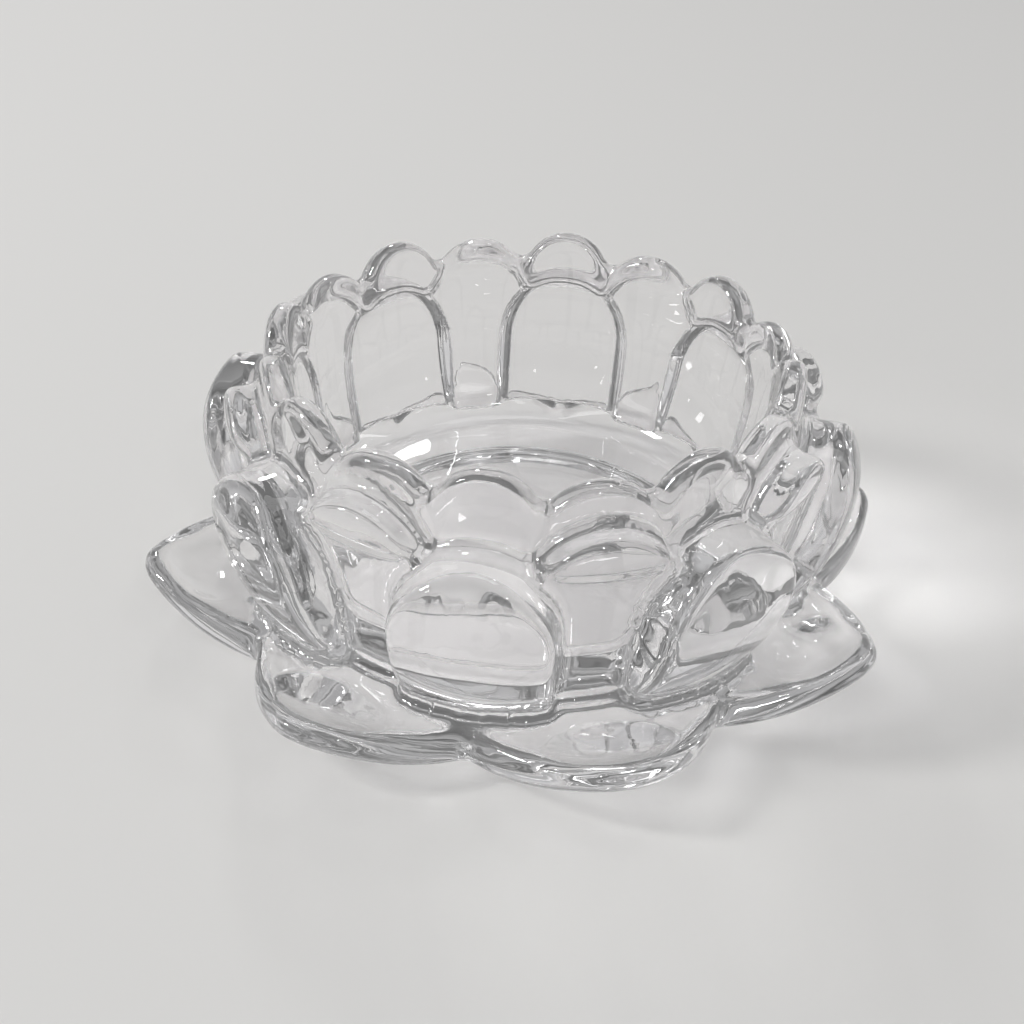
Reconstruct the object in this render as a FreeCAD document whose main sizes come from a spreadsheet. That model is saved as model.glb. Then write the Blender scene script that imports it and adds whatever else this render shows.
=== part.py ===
import FreeCAD, Part
import os
import re
import Sketcher

# Pressed-glass lotus bowl, in millimetres
# The table is the plane of height zero and the bowl's axis is upright. One tall inner petal points along +Y.
# The bowl is one casting. Each node is one of its moulded forms, and neighbours meet face to face.
# The outer petal is the form that takes the most skill: a bulged tongue with a rounded tip,
# fitted to the curved wall behind it and to the dished ring of base petals below it.

SIZES = {
    # Shared counts and margins
    "petal_count": 8,
    "cut_overrun": 2.0,
    "edge_margin": 1.0,
    # Wall, which the sixteen inner petals make up side by side
    "rim_radius": 40.0,
    "rim_wall": 3.6,
    "rim_round": 1.6,
    "bowl_height": 44.0,
    "short_tip_drop": 1.4,
    "rim_valley_drop": 6.7,
    "rim_flank_width_share": 0.766,
    "rim_flank_drop_share": 0.522,
    "wall_shoulder_drop": 13.0,
    # Foot and floor
    "foot_setback": 3.5,
    "foot_width": 9.0,
    "foot_height": 4.0,
    "foot_round": 1.6,
    "recess_height": 2.2,
    "recess_crown": 1.4,
    "floor_height": 12.0,
    "floor_corner_round": 5.5,
    # Ring of base petals, whose top and underside are two upturned sweeps
    "saucer_low_setout": 4.0,
    "saucer_low_height": 7.4,
    "saucer_sweep": 36.0,
    "under_low_height": 0.5,
    "under_sweep": 34.0,
    "base_overhang": 18.8,
    "base_valley_overhang": 6.5,
    "base_side_radius": 34.0,
    "base_tip_half_width": 3.6,
    "base_tip_crown": 1.0,
    "base_edge_round": 1.6,
    "dish_inset": 9.3,
    "dish_tilt": 15.0,
    "dish_depth": 1.5,
    "dish_along_radius": 10.5,
    "dish_across_radius": 26.0,
    "dish_rim_round": 1.5,
    # Outer petals, eight bulged tongues below the tall inner petals
    "outer_overhang": 10.0,
    "outer_tip_drop": 10.0,
    "outer_tip_setback": 6.4,
    "outer_shoulder_drop": 7.0,
    "outer_spring_drop": 11.2,
    "outer_foot_setout": 5.7,
    "outer_half_width": 11.3,
    "outer_foot_half_width": 9.5,
    "outer_face_radius": 30.0,
    "outer_edge_round": 2.2,
    # Middle petals, eight flatter tongues with a thick lip, which the outer ones overlap
    "middle_overhang": 5.4,
    "middle_tip_drop": 6.2,
    "middle_tip_setback": 3.2,
    "middle_shoulder_drop": 3.3,
    "middle_lip_drop": 6.2,
    "middle_lip_setback": 1.7,
    "middle_spring_drop": 9.8,
    "middle_foot_setout": 2.2,
    "middle_half_width": 9.8,
    "middle_face_radius": 34.0,
    "middle_edge_round": 1.6,
}

document = FreeCAD.newDocument("lotus_bowl")
sheet = document.addObject("Spreadsheet::Sheet", "sizes")
for row, (size_name, size_value) in enumerate(SIZES.items(), start=1):
    sheet.set("A%d" % row, size_name)
    sheet.set("B%d" % row, str(size_value))
    sheet.setAlias("B%d" % row, size_name)
document.recompute()


def bound(text):
    """Writes a sum of size names as an expression on the sheet."""
    return re.sub(r"[a-z]+_[a-z_]+", lambda word: "sizes." + word.group(0), text)


def worth(text):
    return float(sheet.evalExpression(bound(text)))


def square_arc(across, along):
    """Radius of an arc that starts square to its width and moves by these two amounts."""
    return "((%s)^2 + (%s)^2) / (2 * (%s))" % (across, along, across)


# Sketches and features

def new_body(label):
    body = document.addObject("PartDesign::Body", label)
    body.Label = label
    return body


def new_sketch(body, name, plane_role):
    sketch = body.newObject("Sketcher::SketchObject", name)
    plane = [part for part in body.Origin.OriginFeatures if part.Role == plane_role][0]
    sketch.AttachmentSupport = [(plane, "")]
    sketch.MapMode = "FlatFace"
    return sketch


def hold(sketch, axis, line, end, text):
    """Holds one end of a line at a distance along the sketch's first or second axis."""
    if text == "0":
        sketch.addConstraint(Sketcher.Constraint("PointOnObject", line, end, -2 if axis == "X" else -1))
        return
    number = sketch.addConstraint(Sketcher.Constraint("Distance" + axis, -1, 1, line, end, worth(text)))
    sketch.setExpression("Constraints[%d]" % number, bound(text))


def arc_between(start, finish, radius, turn):
    middle = (start + finish) * 0.5
    chord = finish - start
    left = FreeCAD.Vector(-chord.y, chord.x, 0)
    left.normalize()
    rise = max(radius**2 - chord.Length**2 / 4, 0) ** 0.5
    centre = middle + left * (rise if turn == "left" else -rise)
    first, last = (start, finish) if turn == "left" else (finish, start)
    circle = Part.Circle(centre, FreeCAD.Vector(0, 0, 1), radius)
    return Part.ArcOfCircle(circle, circle.parameter(first), circle.parameter(last))


def draw_outline(sketch, corners):
    """Draws a closed outline. A corner is (across, up), and an arc that leads to it adds radius and turn."""
    points = [FreeCAD.Vector(worth(corner[0]), worth(corner[1]), 0) for corner in corners]
    starts = []
    ends = []
    for number, corner in enumerate(corners):
        start, finish = points[number - 1], points[number]
        if len(corner) == 2:
            line = sketch.addGeometry(Part.LineSegment(start, finish), False)
            turn = "left"
        else:
            turn = corner[3]
            line = sketch.addGeometry(arc_between(start, finish, worth(corner[2]), turn), False)
        starts.append((line, 1 if turn == "left" else 2))
        ends.append((line, 2 if turn == "left" else 1))
    for number, corner in enumerate(corners):
        following = starts[(number + 1) % len(corners)]
        sketch.addConstraint(Sketcher.Constraint("Coincident", *ends[number], *following))
        hold(sketch, "X", *ends[number], corner[0])
        hold(sketch, "Y", *ends[number], corner[1])
    for number, corner in enumerate(corners):
        if len(corner) == 4:
            radius = sketch.addConstraint(Sketcher.Constraint("Radius", ends[number][0], worth(corner[2])))
            sketch.setExpression("Constraints[%d]" % radius, bound(corner[2]))


def draw_axis(sketch, start, finish):
    ends = [FreeCAD.Vector(worth(end[0]), worth(end[1]), 0) for end in (start, finish)]
    line = sketch.addGeometry(Part.LineSegment(*ends), True)
    for number, end in enumerate((start, finish), start=1):
        hold(sketch, "X", line, number, end[0])
        hold(sketch, "Y", line, number, end[1])


def turned(body, kind, sketch, axis="V_Axis", angle="360"):
    """Adds a Revolution or a Groove about the bowl's axis or the sketch's own axis line."""
    feature = body.newObject("PartDesign::" + kind, sketch.Name + "_" + kind.lower())
    feature.Profile = sketch
    feature.ReferenceAxis = (sketch, [axis])
    feature.Midplane = True
    feature.setExpression("Angle", bound(angle))
    body.Tip = feature


def pushed(body, kind, sketch, length, reverse):
    """Adds a Pad or a Pocket of the sketch on one side of its plane."""
    feature = body.newObject("PartDesign::" + kind, sketch.Name + "_" + kind.lower())
    feature.Profile = sketch
    feature.Reversed = reverse
    feature.setExpression("Length", bound(length))
    body.Tip = feature


def round_edges(body, radius, wanted):
    """Rounds the edges of the body whose middle and ends pass the given test."""
    document.recompute()
    base = body.Tip
    names = []
    for number, edge in enumerate(base.Shape.Edges, start=1):
        middle = edge.valueAt((edge.FirstParameter + edge.LastParameter) / 2)
        ends = [vertex.Point for vertex in edge.Vertexes]
        if wanted(middle, ends):
            names.append("Edge%d" % number)
    feature = body.newObject("PartDesign::Fillet", base.Name + "_rounding")
    feature.Base = (base, names)
    feature.setExpression("Radius", bound(radius))
    body.Tip = feature
    document.recompute()


def take_away(body, others):
    """Cuts the body by other bodies that meet it."""
    feature = body.newObject("PartDesign::Boolean", body.Name + "_cut")
    feature.Type = "Cut"
    feature.Group = others
    body.Tip = feature


def placed(form, label, turn):
    """Copies a form as a body of its own, turned about the bowl's axis."""
    body = new_body(label)
    copy = document.addObject("PartDesign::FeatureBase", label + "_copy")
    copy.BaseFeature = form
    body.Group = [copy]
    body.Tip = copy
    body.Placement = FreeCAD.Placement(FreeCAD.Vector(), FreeCAD.Rotation(FreeCAD.Vector(0, 0, 1), 1))
    body.setExpression("Placement.Rotation.Angle", bound(turn))
    return body


def around(point):
    """Distance of a point from the bowl's axis."""
    return (point.x**2 + point.y**2) ** 0.5


def near_enough():
    """The largest distance that still counts as none."""
    return worth("rim_radius") / 4000


def near(first, second):
    return abs(first - second) < near_enough()


# Places that several nodes share

def sweep_height(at_radius, low_radius, low_height, sweep):
    """Height of an upturned sweep, an arc whose lowest point is given."""
    return "(%s + %s - sqrt((%s)^2 - (%s - (%s))^2))" % (low_height, sweep, sweep, at_radius, low_radius)


def saucer_height(at_radius):
    low = FOOT_RADIUS + " + saucer_low_setout"
    return sweep_height(at_radius, low, "saucer_low_height", "saucer_sweep")


def under_height(at_radius):
    return sweep_height(at_radius, FOOT_RADIUS, "under_low_height", "under_sweep")


TOP = "bowl_height + cut_overrun"
LOW = "-cut_overrun"
FOOT_RADIUS = "rim_radius - foot_setback"
FOOT_BORE = "rim_radius - foot_setback - foot_width"
BASE_REACH = "rim_radius + base_overhang"
BLANK_REACH = "rim_radius + base_overhang + cut_overrun"
OUTSIDE = "2 * rim_radius + base_overhang"
VALLEY_HEIGHT = "bowl_height - rim_valley_drop"
SHOULDER_HEIGHT = "bowl_height - wall_shoulder_drop"
ROOT_HEIGHT = saucer_height(FOOT_RADIUS)
WALL_ARC = square_arc("foot_setback", "%s - %s" % (SHOULDER_HEIGHT, ROOT_HEIGHT))
WALL_OUTSIDE = [
    (FOOT_RADIUS, ROOT_HEIGHT),
    ("rim_radius", SHOULDER_HEIGHT, WALL_ARC, "left"),
    ("rim_radius", TOP),
]
SAUCER_ROOT = (FOOT_RADIUS, ROOT_HEIGHT, "saucer_sweep", "right")


# Foot and floor

def make_foot_ring():
    body = new_body("foot_ring")
    section = new_sketch(body, "foot_section", "YZ_Plane")
    draw_outline(section, [
        (FOOT_BORE, "0"),
        (FOOT_RADIUS, "0"),
        (FOOT_RADIUS, "foot_height"),
        (FOOT_BORE, "foot_height"),
    ])
    turned(body, "Revolution", section)

    def on_inner_edge(middle, ends):
        return near(middle.z, 0) and near(around(middle), worth(FOOT_BORE))
    round_edges(body, "foot_round", on_inner_edge)
    return body


def make_floor():
    body = new_body("bowl_floor")
    section = new_sketch(body, "floor_section", "YZ_Plane")
    dome = square_arc("recess_crown", FOOT_BORE)
    draw_outline(section, [
        ("0", "floor_height"),
        ("0", "recess_height + recess_crown"),
        (FOOT_BORE, "recess_height", dome, "right"),
        (FOOT_BORE, "floor_height"),
    ])
    turned(body, "Revolution", section)
    return body


# Inner petals, each one a stave of the wall with a rounded tip

def make_inner_petal(label, tip_height):
    body = new_body(label)
    corner = square_arc("floor_corner_round", "floor_corner_round")
    section = new_sketch(body, label + "_section", "YZ_Plane")
    draw_outline(section, [
        (FOOT_BORE, "foot_height"),
        (FOOT_RADIUS, "foot_height"),
        *WALL_OUTSIDE,
        ("rim_radius - rim_wall", TOP),
        (FOOT_BORE + " + floor_corner_round", "floor_height + floor_corner_round"),
        (FOOT_BORE, "floor_height", corner, "right"),
    ])
    turned(body, "Revolution", section, angle="180 / petal_count")
    half_pitch = "rim_radius * tan(90 deg / petal_count)"
    flank = "rim_flank_width_share * " + half_pitch
    flank_drop = "rim_flank_drop_share * (%s - (%s))" % (tip_height, VALLEY_HEIGHT)
    flank_height = "%s - %s" % (tip_height, flank_drop)
    arch = square_arc(flank_drop, flank)
    tip = new_sketch(body, label + "_tip", "XZ_Plane")
    draw_outline(tip, [
        ("-" + half_pitch, TOP + " + cut_overrun"),
        (half_pitch, TOP + " + cut_overrun"),
        (half_pitch, VALLEY_HEIGHT),
        (flank, flank_height),
        ("0", tip_height, arch, "left"),
        ("-" + flank, flank_height, arch, "left"),
        ("-" + half_pitch, VALLEY_HEIGHT),
    ])
    pushed(body, "Pocket", tip, "rim_radius + cut_overrun", False)
    lowest = worth(VALLEY_HEIGHT + " - rim_round")

    def on_rim(middle, ends):
        across_wall = abs(around(ends[0]) - around(ends[-1])) > worth("rim_wall") / 2
        return min(end.z for end in ends) > lowest and not across_wall and len(ends) == 2
    round_edges(body, "rim_round", on_rim)
    return body


# Outer and middle petals, tongues fitted to the wall behind and the saucer below

def tongue(body, label, foot_half_width):
    """Pads the outline of a tongue with a round tip, from the bowl's axis outwards."""
    half_width = label + "_half_width"
    tip_height = "bowl_height - %s_tip_drop" % label
    spring_height = "%s - %s_spring_drop" % (tip_height, label)
    sketch = new_sketch(body, label + "_outline", "XZ_Plane")
    arch = square_arc(label + "_spring_drop", half_width)
    right = (half_width, spring_height)
    left = ("-" + foot_half_width, "0")
    if foot_half_width != half_width:
        side = square_arc("%s - %s" % (half_width, foot_half_width), spring_height)
        right += (side, "left")
        left += (side, "left")
    draw_outline(sketch, [
        (foot_half_width, "0"),
        right,
        ("0", tip_height, arch, "left"),
        ("-" + half_width, spring_height, arch, "left"),
        left,
    ])
    pushed(body, "Pad", sketch, BASE_REACH, True)


def fit_to_wall_and_saucer(body, label):
    neighbours = new_sketch(body, label + "_seat", "YZ_Plane")
    draw_outline(neighbours, [
        ("0", LOW),
        (BLANK_REACH, LOW),
        (BLANK_REACH, saucer_height(BLANK_REACH)),
        SAUCER_ROOT,
        *WALL_OUTSIDE[1:],
        ("0", TOP),
    ])
    turned(body, "Groove", neighbours)


def round_front(body, label):
    """Rounds the tongue's front outline."""
    tip_height = worth("bowl_height - %s_tip_drop" % label)
    clear_of_wall = worth("rim_radius + edge_margin")
    side = worth(label + "_half_width") / 2

    def on_front(middle, ends):
        seam = near(ends[0].x, ends[-1].x) and near(ends[0].z, ends[-1].z)
        on_outline = near(middle.z, tip_height) or abs(middle.x) > side
        return on_outline and not seam and around(middle) > clear_of_wall
    round_edges(body, label + "_edge_round", on_front)


def make_outer_petal():
    body = new_body("outer_petal_form")
    tongue(body, "outer", "outer_foot_half_width")
    reach = "rim_radius + outer_overhang"
    tip_height = "bowl_height - outer_tip_drop"
    shoulder = tip_height + " - outer_shoulder_drop"
    foot = FOOT_RADIUS + " + outer_foot_setout"
    crown = square_arc("outer_tip_setback", "outer_shoulder_drop + cut_overrun")
    belly = square_arc("%s - (%s)" % (reach, foot), shoulder + " - saucer_low_height")
    face = new_sketch(body, "outer_face", "YZ_Plane")
    draw_outline(face, [
        (reach + " - outer_tip_setback", TOP),
        (reach + " - outer_tip_setback", tip_height + " + cut_overrun"),
        (reach, shoulder, crown, "right"),
        (foot, "saucer_low_height", belly, "right"),
        (foot, LOW),
        (OUTSIDE, LOW),
        (OUTSIDE, TOP),
    ])
    draw_axis(face, (reach + " - outer_face_radius", LOW), (reach + " - outer_face_radius", TOP))
    turned(body, "Groove", face, "Axis0")
    fit_to_wall_and_saucer(body, "outer")
    round_front(body, "outer")
    return body


def make_middle_petal(outer_petal):
    body = new_body("middle_petal_form")
    tongue(body, "middle", "middle_half_width")
    reach = "rim_radius + middle_overhang"
    tip_height = "bowl_height - middle_tip_drop"
    foot = FOOT_RADIUS + " + middle_foot_setout"
    crown = square_arc("middle_tip_setback", "middle_shoulder_drop + cut_overrun")
    lip = square_arc("middle_lip_setback", "middle_lip_drop - middle_shoulder_drop")
    face = new_sketch(body, "middle_face", "YZ_Plane")
    draw_outline(face, [
        (reach + " - middle_tip_setback", TOP),
        (reach + " - middle_tip_setback", tip_height + " + cut_overrun"),
        (reach, tip_height + " - middle_shoulder_drop", crown, "right"),
        (reach + " - middle_lip_setback", tip_height + " - middle_lip_drop", lip, "right"),
        (foot, ROOT_HEIGHT),
        (foot, LOW),
        (OUTSIDE, LOW),
        (OUTSIDE, TOP),
    ])
    draw_axis(face, (reach + " - middle_face_radius", LOW), (reach + " - middle_face_radius", TOP))
    turned(body, "Groove", face, "Axis0")
    fit_to_wall_and_saucer(body, "middle")
    round_front(body, "middle")
    left = placed(outer_petal, "middle_left_neighbour", "180 deg / petal_count")
    right = placed(outer_petal, "middle_right_neighbour", "-180 deg / petal_count")
    take_away(body, [left, right])
    return body


# Base petals, upturned leaves with a spoon-shaped hollow on top

def press_hollow(body):
    """Presses the spoon-shaped hollow, a low arc turned about a line that leans as the petal does."""
    middle = BASE_REACH + " - dish_inset"
    height = saucer_height(middle)

    def at(along, above):
        """A point along the leaning face and above the hollow's lowest point."""
        lift = "(%s - dish_depth)" % above
        across = "%s + (%s) * cos(dish_tilt * 1 deg) - %s * sin(dish_tilt * 1 deg)" % (middle, along, lift)
        up = "%s + (%s) * sin(dish_tilt * 1 deg) + %s * cos(dish_tilt * 1 deg)" % (height, along, lift)
        return across, up
    mouth = "sqrt(4 * dish_depth * dish_along_radius - 4 * dish_depth^2)"
    hollow = new_sketch(body, "base_hollow", "YZ_Plane")
    draw_outline(hollow, [
        at("-" + mouth, "2 * dish_depth"),
        at(mouth, "2 * dish_depth") + ("dish_along_radius", "left"),
    ])
    draw_axis(hollow, at("-dish_depth", "dish_across_radius"), at("dish_depth", "dish_across_radius"))
    turned(body, "Groove", hollow, "Axis0")
    tip_edge = worth(BASE_REACH + " - base_edge_round")
    root_edge = worth(FOOT_RADIUS + " + edge_margin")
    side_edge = worth(FOOT_RADIUS + " * sin(180 deg / petal_count)")
    lowest = worth("saucer_low_height")

    def on_mouth(middle, ends):
        reaches = [around(point) for point in [middle] + ends]
        within_petal = max(reaches) < tip_edge and min(reaches) > root_edge
        return within_petal and abs(middle.x) < side_edge and middle.z > lowest
    round_edges(body, "dish_rim_round", on_mouth)


def make_base_petal():
    body = new_body("base_petal_form")
    section = new_sketch(body, "base_section", "YZ_Plane")
    draw_outline(section, [
        (FOOT_RADIUS, "under_low_height"),
        (BLANK_REACH, under_height(BLANK_REACH), "under_sweep", "left"),
        (BLANK_REACH, saucer_height(BLANK_REACH)),
        SAUCER_ROOT,
    ])
    turned(body, "Revolution", section, angle="360 / petal_count")
    valley_radius = "rim_radius + base_valley_overhang"
    valley_across = "(%s) * sin(180 deg / petal_count)" % valley_radius
    valley_out = "(%s) * cos(180 deg / petal_count)" % valley_radius
    tip_side = BASE_REACH + " - base_tip_crown"
    tip_arc = square_arc("base_tip_crown", "base_tip_half_width")
    plan = new_sketch(body, "base_plan", "XY_Plane")
    draw_outline(plan, [
        (valley_across, valley_out),
        ("base_tip_half_width", tip_side, "base_side_radius", "left"),
        ("0", BASE_REACH, tip_arc, "left"),
        ("-base_tip_half_width", tip_side, tip_arc, "left"),
        ("-" + valley_across, valley_out, "base_side_radius", "left"),
        ("-(%s)" % OUTSIDE, valley_out),
        ("-(%s)" % OUTSIDE, OUTSIDE),
        (OUTSIDE, OUTSIDE),
        (OUTSIDE, valley_out),
    ])
    pushed(body, "Pocket", plan, BASE_REACH, True)
    past_valley = worth(valley_radius) + near_enough()

    def on_outline(middle, ends):
        rise = abs(ends[0].z - ends[-1].z)
        run = abs(around(ends[0]) - around(ends[-1]))
        return around(middle) > past_valley and rise < run + worth("edge_margin")
    round_edges(body, "base_edge_round", on_outline)
    press_hollow(body)
    return body


# Copies of the forms and their checks

def put_round(form, label, numbers, first, step):
    """Places copies of a form counter-clockwise from +Y. First angle and step are in half pitches."""
    for count, number in enumerate(numbers):
        turn = "%d * 180 deg / petal_count" % (first + count * step)
        nodes.append(placed(form, "%s_%d" % (label, number), turn))


def check_all():
    """Makes sure that every feature was built and that every cut took something away."""
    for item in document.Objects:
        if "Invalid" in item.State or "Error" in item.State:
            raise RuntimeError(item.Name + " failed")
        cuts = item.TypeId.split("::")[-1] in ("Groove", "Pocket", "Boolean")
        if cuts and item.Shape.Volume > item.BaseFeature.Shape.Volume - near_enough():
            raise RuntimeError(item.Name + " cuts nothing")
    for node in nodes:
        if node.Shape.isNull() or not node.Shape.isValid() or len(node.Shape.Solids) != 1:
            raise RuntimeError(node.Label + " is not one sound solid")


foot_ring = make_foot_ring()
bowl_floor = make_floor()
tall_form = make_inner_petal("tall_inner_form", "bowl_height")
short_form = make_inner_petal("short_inner_form", "bowl_height - short_tip_drop")
outer_form = make_outer_petal()
middle_form = make_middle_petal(outer_form)
base_form = make_base_petal()

nodes = [foot_ring, bowl_floor]
places = int(worth("petal_count"))
put_round(tall_form, "inner_petal", range(1, 2 * places, 2), 0, 2)
put_round(short_form, "inner_petal", range(2, 2 * places + 1, 2), 1, 2)
put_round(outer_form, "outer_petal", range(1, places + 1), 0, 2)
put_round(middle_form, "middle_petal", range(1, places + 1), 1, 2)
put_round(base_form, "base_petal", range(1, places + 1), 1, 2)

document.recompute()
check_all()
os.makedirs("parts", exist_ok=True)
for node in nodes:
    node.Shape.exportStep("parts/%s.step" % node.Label)
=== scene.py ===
import math

import bmesh
import bpy
from mathutils import Matrix, Vector


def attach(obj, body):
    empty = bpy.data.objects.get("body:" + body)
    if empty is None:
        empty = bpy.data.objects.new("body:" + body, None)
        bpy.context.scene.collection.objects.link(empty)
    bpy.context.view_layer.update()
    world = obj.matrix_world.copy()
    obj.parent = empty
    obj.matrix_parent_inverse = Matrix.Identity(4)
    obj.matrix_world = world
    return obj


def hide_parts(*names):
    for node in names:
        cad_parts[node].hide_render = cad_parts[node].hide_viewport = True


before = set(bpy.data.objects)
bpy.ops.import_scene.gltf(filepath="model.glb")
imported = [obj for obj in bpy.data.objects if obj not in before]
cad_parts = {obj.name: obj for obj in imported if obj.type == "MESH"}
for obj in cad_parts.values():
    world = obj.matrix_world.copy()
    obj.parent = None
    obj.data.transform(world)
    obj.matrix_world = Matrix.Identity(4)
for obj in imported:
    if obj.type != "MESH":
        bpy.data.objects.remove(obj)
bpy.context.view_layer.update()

# Sizes in metres
RIM_RADIUS = 0.040
RIM_HEIGHT = 0.044
BOWL_MIDDLE = (0, 0, 0.02)
MERGE_DISTANCE = 1e-7
VOXEL = 0.00050
CORNER_FILL = 0.0009
WAVE_DEPTH = 0.0010
TABLE_SIZE = 3.0
TABLE_GAP = 0.0002

# Fire-polishing: rounds of smoothing, its strength, and the share of facets that stays
FIRST_ROUNDS = 3
POLISH_ROUNDS = 6
EVENING_ROUNDS = 2
SMOOTHING = 0.5
FACET_SHARE = 0.44

# Glass and table
GLASS_COLOUR = (0.986, 0.981, 0.984)
GLASS_ROUGHNESS = 0.01
GLASS_INDEX = 1.51
WAVE_SCALE = 65.0
WAVE_DETAIL = 1.0
WAVE_STRENGTH = 0.25
TABLE_COLOUR = (0.71, 0.703, 0.688)
TABLE_ROUGHNESS = 0.75

# Bounces and mirrorings after which light in the glass counts as trapped, and the glass glows a
# painted grey in its place
MOST_BOUNCES = 9
MOST_MIRRORINGS = 3
BETWEEN_COUNTS = 0.5

# Painted greys that the glass glows with in place of trapped light, standing in for light and shade
# inside the glass, as position and grey, by how far a surface faces along the glow shade direction
GLOW_SHADE_DIRECTION = (0.22, -0.18, 0.41)
GLOW_SHADE_CENTRE = 0.5
PAINTED_GLOW_GREYS = (
    (0.00, 0.24), (0.14, 0.09), (0.27, 0.29),
    (0.38, 0.08), (0.50, 0.35), (0.62, 0.09),
    (0.76, 0.41), (0.88, 0.12), (1.00, 0.46),
)

# What the glass lets through to the table, from seen face-on to seen edge-on
SHADOW_STOPS = (
    (0.15, (0.84, 0.84, 0.85)),
    (0.85, (0.28, 0.28, 0.29)),
)

# Light of the room, from level at 0 to overhead at 1
ROOM_STOPS = (
    (0.00, (0.80, 0.80, 0.80)),
    (0.16, (0.72, 0.72, 0.7272)),
    (0.32, (0.48, 0.48, 0.4848)),
    (0.58, (0.40, 0.40, 0.404)),
    (0.80, (0.58, 0.58, 0.5858)),
    (1.00, (0.66, 0.665, 0.67)),
)
ROOM_STRENGTH = 0.84

# Soft lamps: name, place, width and height in metres, power in watts
LAMPS = (
    ("window_light", (-0.95, -0.30, 0.72), 0.16, 0.24, 6.4),
    ("top_light", (0.10, 0.25, 1.20), 0.60, 0.40, 1.2),
    ("back_sparkle", (-0.35, 0.85, 0.62), 0.07, 0.12, 1.0),
    ("front_sparkle", (0.45, -0.80, 0.85), 0.07, 0.07, 0.7),
    ("left_sparkle", (-0.75, -0.75, 0.55), 0.06, 0.06, 0.5),
    ("high_sparkle", (0.30, 0.55, 1.05), 0.06, 0.06, 0.5),
)

# The photograph's camera: angles in degrees, lengths in pixels, sensor in millimetres
PHOTO_TURN = 8.09
PHOTO_FALL = 33.76
PHOTO_ROLL = 2.78
PHOTO_FOCUS = 1483
PHOTO_WIDTH = 1024
SENSOR_WIDTH = 36.0
NEAREST_SEEN = 0.01

# Its place from the middle of the rim, in rim radii
CAMERA_SHARES = (0.637, -4.827, 2.471)


def fresh_object(name, data):
    piece = bpy.data.objects.new(name, data)
    bpy.context.scene.collection.objects.link(piece)
    return piece


def settled(piece):
    """Applies the piece's modifiers."""
    bpy.context.view_layer.update()
    shape = piece.evaluated_get(bpy.context.evaluated_depsgraph_get())
    mesh = bpy.data.meshes.new_from_object(shape)
    piece.modifiers.clear()
    old = piece.data
    piece.data = mesh
    bpy.data.meshes.remove(old)
    mesh.name = piece.name
    return piece


def plain_material(name, colour, roughness):
    material = bpy.data.materials.new(name)
    material.use_nodes = True
    surface = material.node_tree.nodes["Principled BSDF"]
    surface.inputs["Base Color"].default_value = (*colour, 1)
    surface.inputs["Roughness"].default_value = roughness
    return material


def fill_ramp(ramp, stops):
    """Gives a colour ramp its stops, each a position and a colour, in rising order."""
    ends = stops[0], stops[-1]
    for element, (position, colour) in zip(ramp.elements, ends):
        element.position = position
        element.color = (*colour, 1)
    for position, colour in stops[1:-1]:
        ramp.elements.new(position).color = (*colour, 1)


# The casting

def reskin(bowl, name):
    """Gives the glass one closed skin of even facets."""
    skin = bowl.modifiers.new(name, "REMESH")
    skin.mode = "VOXEL"
    skin.voxel_size = VOXEL


def smooth(bowl, name, rounds):
    polish = bowl.modifiers.new(name, "SMOOTH")
    polish.factor = SMOOTHING
    polish.iterations = rounds


def swell(bowl, name, distance):
    """Moves the skin outwards, or inwards where the distance is negative."""
    push = bowl.modifiers.new(name, "DISPLACE")
    push.direction = "NORMAL"
    push.mid_level = 0.0
    push.strength = distance


def merged_copy(node):
    """Copies a moulded form and closes the seams between its faces."""
    form = bmesh.new()
    form.from_mesh(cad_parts[node].data)
    bmesh.ops.remove_doubles(form, verts=form.verts, dist=MERGE_DISTANCE)
    copy = bpy.data.meshes.new(node + "_copy")
    form.to_mesh(copy)
    form.free()
    return copy


def melt_together(nodes):
    """Melts copies of the moulded forms into one skin with fire-polished edges."""
    forms = bmesh.new()
    for node in nodes:
        copy = merged_copy(node)
        forms.from_mesh(copy)
        bpy.data.meshes.remove(copy)
    mesh = bpy.data.meshes.new("glass_bowl")
    forms.to_mesh(mesh)
    forms.free()
    bowl = fresh_object("glass_bowl", mesh)
    reskin(bowl, "one_skin")
    smooth(bowl, "first_polish", FIRST_ROUNDS)
    swell(bowl, "swollen", CORNER_FILL)
    reskin(bowl, "filled_skin")
    smooth(bowl, "filled_polish", FIRST_ROUNDS)
    swell(bowl, "shrunk_back", -CORNER_FILL)
    smooth(bowl, "fire_polish", POLISH_ROUNDS)
    thin = bowl.modifiers.new("fewer_facets", "DECIMATE")
    thin.ratio = FACET_SHARE
    smooth(bowl, "even_facets", EVENING_ROUNDS)
    return settled(bowl)


# Glass

def add_waves(tree, surface):
    """Gives the pressed surface its faint waves."""
    place = tree.nodes.new("ShaderNodeTexCoord")
    waves = tree.nodes.new("ShaderNodeTexNoise")
    waves.inputs["Scale"].default_value = WAVE_SCALE
    waves.inputs["Detail"].default_value = WAVE_DETAIL
    bump = tree.nodes.new("ShaderNodeBump")
    bump.inputs["Strength"].default_value = WAVE_STRENGTH
    bump.inputs["Distance"].default_value = WAVE_DEPTH
    tree.links.new(place.outputs["Object"], waves.inputs["Vector"])
    tree.links.new(waves.outputs["Fac"], bump.inputs["Height"])
    tree.links.new(bump.outputs["Normal"], surface.inputs["Normal"])


def more_than(tree, depth, limit):
    """Tells whether a ray has bounced more often than the limit."""
    test = tree.nodes.new("ShaderNodeMath")
    test.operation = "GREATER_THAN"
    test.inputs[1].default_value = limit + BETWEEN_COUNTS
    tree.links.new(depth, test.inputs[0])
    return test.outputs["Value"]


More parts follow.
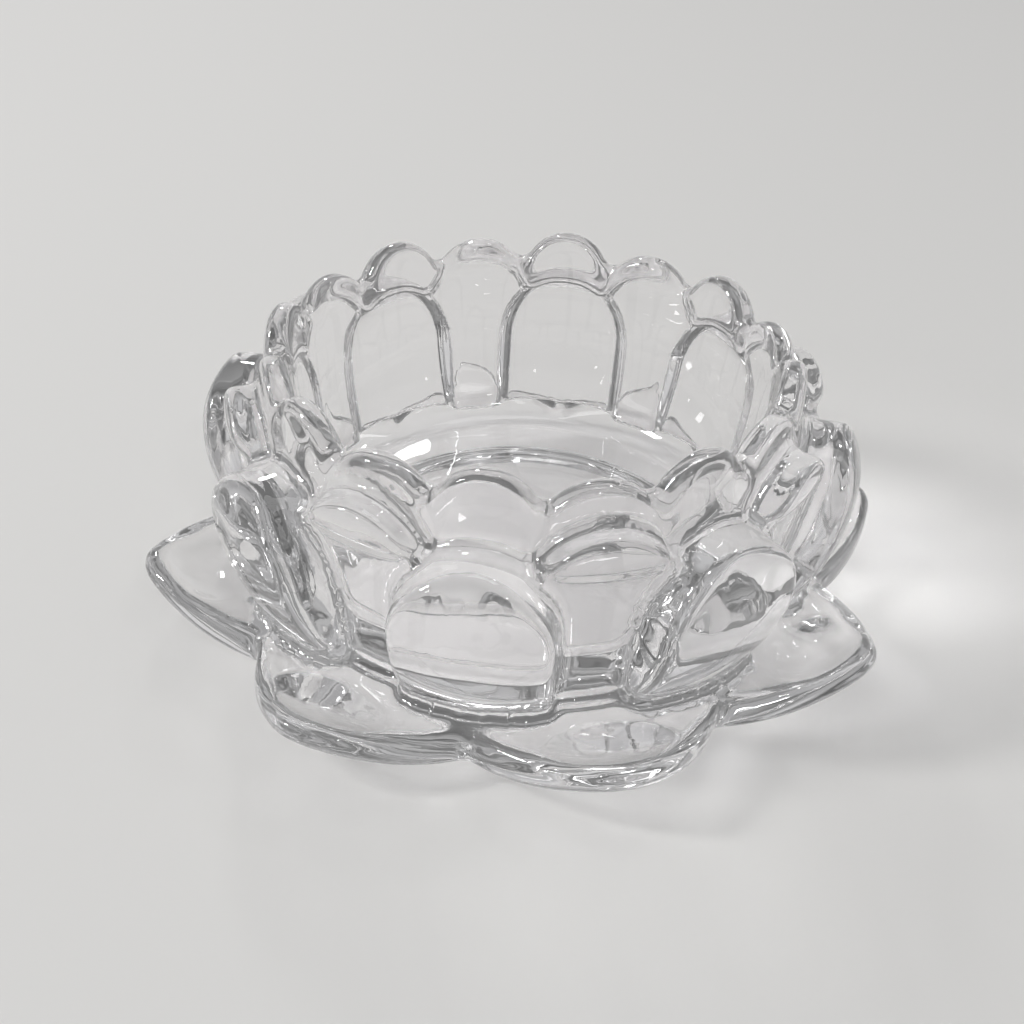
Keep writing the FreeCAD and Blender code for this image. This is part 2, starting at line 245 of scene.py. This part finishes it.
def painted_glow_shades(tree):
    """Picks a painted grey for the glass to glow with, lighter or darker in bands by the way the
    surface faces, as painted shade.
    """
    facing = tree.nodes.new("ShaderNodeNewGeometry")
    lean = tree.nodes.new("ShaderNodeVectorMath")
    lean.operation = "DOT_PRODUCT"
    lean.inputs[1].default_value = GLOW_SHADE_DIRECTION
    tree.links.new(facing.outputs["Normal"], lean.inputs[0])
    centred = tree.nodes.new("ShaderNodeMath")
    centred.operation = "ADD"
    centred.inputs[1].default_value = GLOW_SHADE_CENTRE
    tree.links.new(lean.outputs["Value"], centred.inputs[0])
    glow_shade_ramp = tree.nodes.new("ShaderNodeValToRGB")
    fill_ramp(glow_shade_ramp.color_ramp, [(position, (grey, grey, grey)) for position, grey in PAINTED_GLOW_GREYS])
    tree.links.new(centred.outputs["Value"], glow_shade_ramp.inputs["Fac"])
    return glow_shade_ramp.outputs["Color"]


def add_painted_glow(tree, surface, light):
    """Makes the glass glow a painted grey, in place of black, where light stays trapped between the
    surfaces: painted light and shade that shines without any lamp.
    """
    # Emission that paints light and shade into the glass; it glows even where no lamp lights it
    painted_glow_emission = tree.nodes.new("ShaderNodeEmission")
    tree.links.new(painted_glow_shades(tree), painted_glow_emission.inputs["Color"])
    either = tree.nodes.new("ShaderNodeMath")
    either.operation = "MAXIMUM"
    tree.links.new(more_than(tree, light.outputs["Ray Depth"], MOST_BOUNCES), either.inputs[0])
    tree.links.new(more_than(tree, light.outputs["Glossy Depth"], MOST_MIRRORINGS), either.inputs[1])
    mix = tree.nodes.new("ShaderNodeMixShader")
    tree.links.new(either.outputs["Value"], mix.inputs["Fac"])
    tree.links.new(surface.outputs["BSDF"], mix.inputs[1])
    tree.links.new(painted_glow_emission.outputs["Emission"], mix.inputs[2])
    return mix


def add_pale_shadow(tree, lit, light):
    """Lets light through to the table, less of it where the glass is seen edge-on."""
    clear = tree.nodes.new("ShaderNodeBsdfTransparent")
    slant = tree.nodes.new("ShaderNodeLayerWeight")
    shade = tree.nodes.new("ShaderNodeValToRGB")
    fill_ramp(shade.color_ramp, SHADOW_STOPS)
    tree.links.new(slant.outputs["Facing"], shade.inputs["Fac"])
    tree.links.new(shade.outputs["Color"], clear.inputs["Color"])
    mix = tree.nodes.new("ShaderNodeMixShader")
    tree.links.new(light.outputs["Is Shadow Ray"], mix.inputs["Fac"])
    tree.links.new(lit.outputs["Shader"], mix.inputs[1])
    tree.links.new(clear.outputs["BSDF"], mix.inputs[2])
    return mix


def clear_glass():
    material = plain_material("clear_glass", GLASS_COLOUR, GLASS_ROUGHNESS)
    tree = material.node_tree
    surface = tree.nodes["Principled BSDF"]
    surface.inputs["IOR"].default_value = GLASS_INDEX
    surface.inputs["Transmission Weight"].default_value = 1.0
    add_waves(tree, surface)
    light = tree.nodes.new("ShaderNodeLightPath")
    lit = add_painted_glow(tree, surface, light)
    glass = add_pale_shadow(tree, lit, light)
    tree.links.new(glass.outputs["Shader"], tree.nodes["Material Output"].inputs["Surface"])
    return material


bowl = melt_together(sorted(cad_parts))
bowl.data.materials.append(clear_glass())
for face in bowl.data.polygons:
    face.use_smooth = True
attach(bowl, "root")
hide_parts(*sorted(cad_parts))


# Table and surroundings

def pale_table():
    board = bmesh.new()
    bmesh.ops.create_grid(board, x_segments=1, y_segments=1, size=TABLE_SIZE)
    bmesh.ops.translate(board, verts=board.verts, vec=(0, 0, -TABLE_GAP))
    mesh = bpy.data.meshes.new("table_top")
    board.to_mesh(mesh)
    board.free()
    table = fresh_object("table_top", mesh)
    mesh.materials.append(plain_material("pale_table", TABLE_COLOUR, TABLE_ROUGHNESS))


def surroundings():
    """Lights the room from all sides: bright low and overhead, with a greyer band between."""
    world = bpy.data.worlds.new("studio")
    bpy.context.scene.world = world
    world.use_nodes = True
    tree = world.node_tree
    background = tree.nodes["Background"]
    place = tree.nodes.new("ShaderNodeTexCoord")
    split = tree.nodes.new("ShaderNodeSeparateXYZ")
    height = tree.nodes.new("ShaderNodeValToRGB")
    fill_ramp(height.color_ramp, ROOM_STOPS)
    tree.links.new(place.outputs["Generated"], split.inputs["Vector"])
    tree.links.new(split.outputs["Z"], height.inputs["Fac"])
    tree.links.new(height.outputs["Color"], background.inputs["Color"])
    background.inputs["Strength"].default_value = ROOM_STRENGTH


def softbox(name, place, width, height, power):
    """Hangs a soft lamp that points at the middle of the bowl."""
    lamp = bpy.data.lights.new(name, "AREA")
    lamp.shape = "RECTANGLE"
    lamp.size = width
    lamp.size_y = height
    lamp.energy = power
    holder = fresh_object(name, lamp)
    holder.location = place
    aim = Vector(BOWL_MIDDLE) - Vector(place)
    holder.rotation_euler = aim.to_track_quat("-Z", "Y").to_euler()


pale_table()
surroundings()
for lamp in LAMPS:
    softbox(*lamp)


# Camera at the photograph's viewing angle

def camera_view():
    turn = math.radians(PHOTO_TURN)
    fall = math.radians(PHOTO_FALL)
    roll = math.radians(PHOTO_ROLL)
    level_ahead = Vector((-math.sin(turn), math.cos(turn), 0))
    ahead = level_ahead * math.cos(fall) - Vector((0, 0, math.sin(fall)))
    level_right = Vector((math.cos(turn), math.sin(turn), 0))
    level_up = level_right.cross(ahead)
    right = level_right * math.cos(roll) + level_up * math.sin(roll)
    up = level_up * math.cos(roll) - level_right * math.sin(roll)
    lens = bpy.data.cameras.new("photo_view")
    lens.sensor_width = SENSOR_WIDTH
    lens.lens = PHOTO_FOCUS / PHOTO_WIDTH * SENSOR_WIDTH
    lens.clip_start = NEAREST_SEEN
    camera = fresh_object("photo_view", lens)
    place = Matrix((right, up, -ahead)).transposed().to_4x4()
    place.translation = Vector(CAMERA_SHARES) * RIM_RADIUS + Vector((0, 0, RIM_HEIGHT))
    camera.matrix_world = place
    bpy.context.scene.camera = camera


camera_view()
bpy.context.scene.view_settings.view_transform = "Standard"
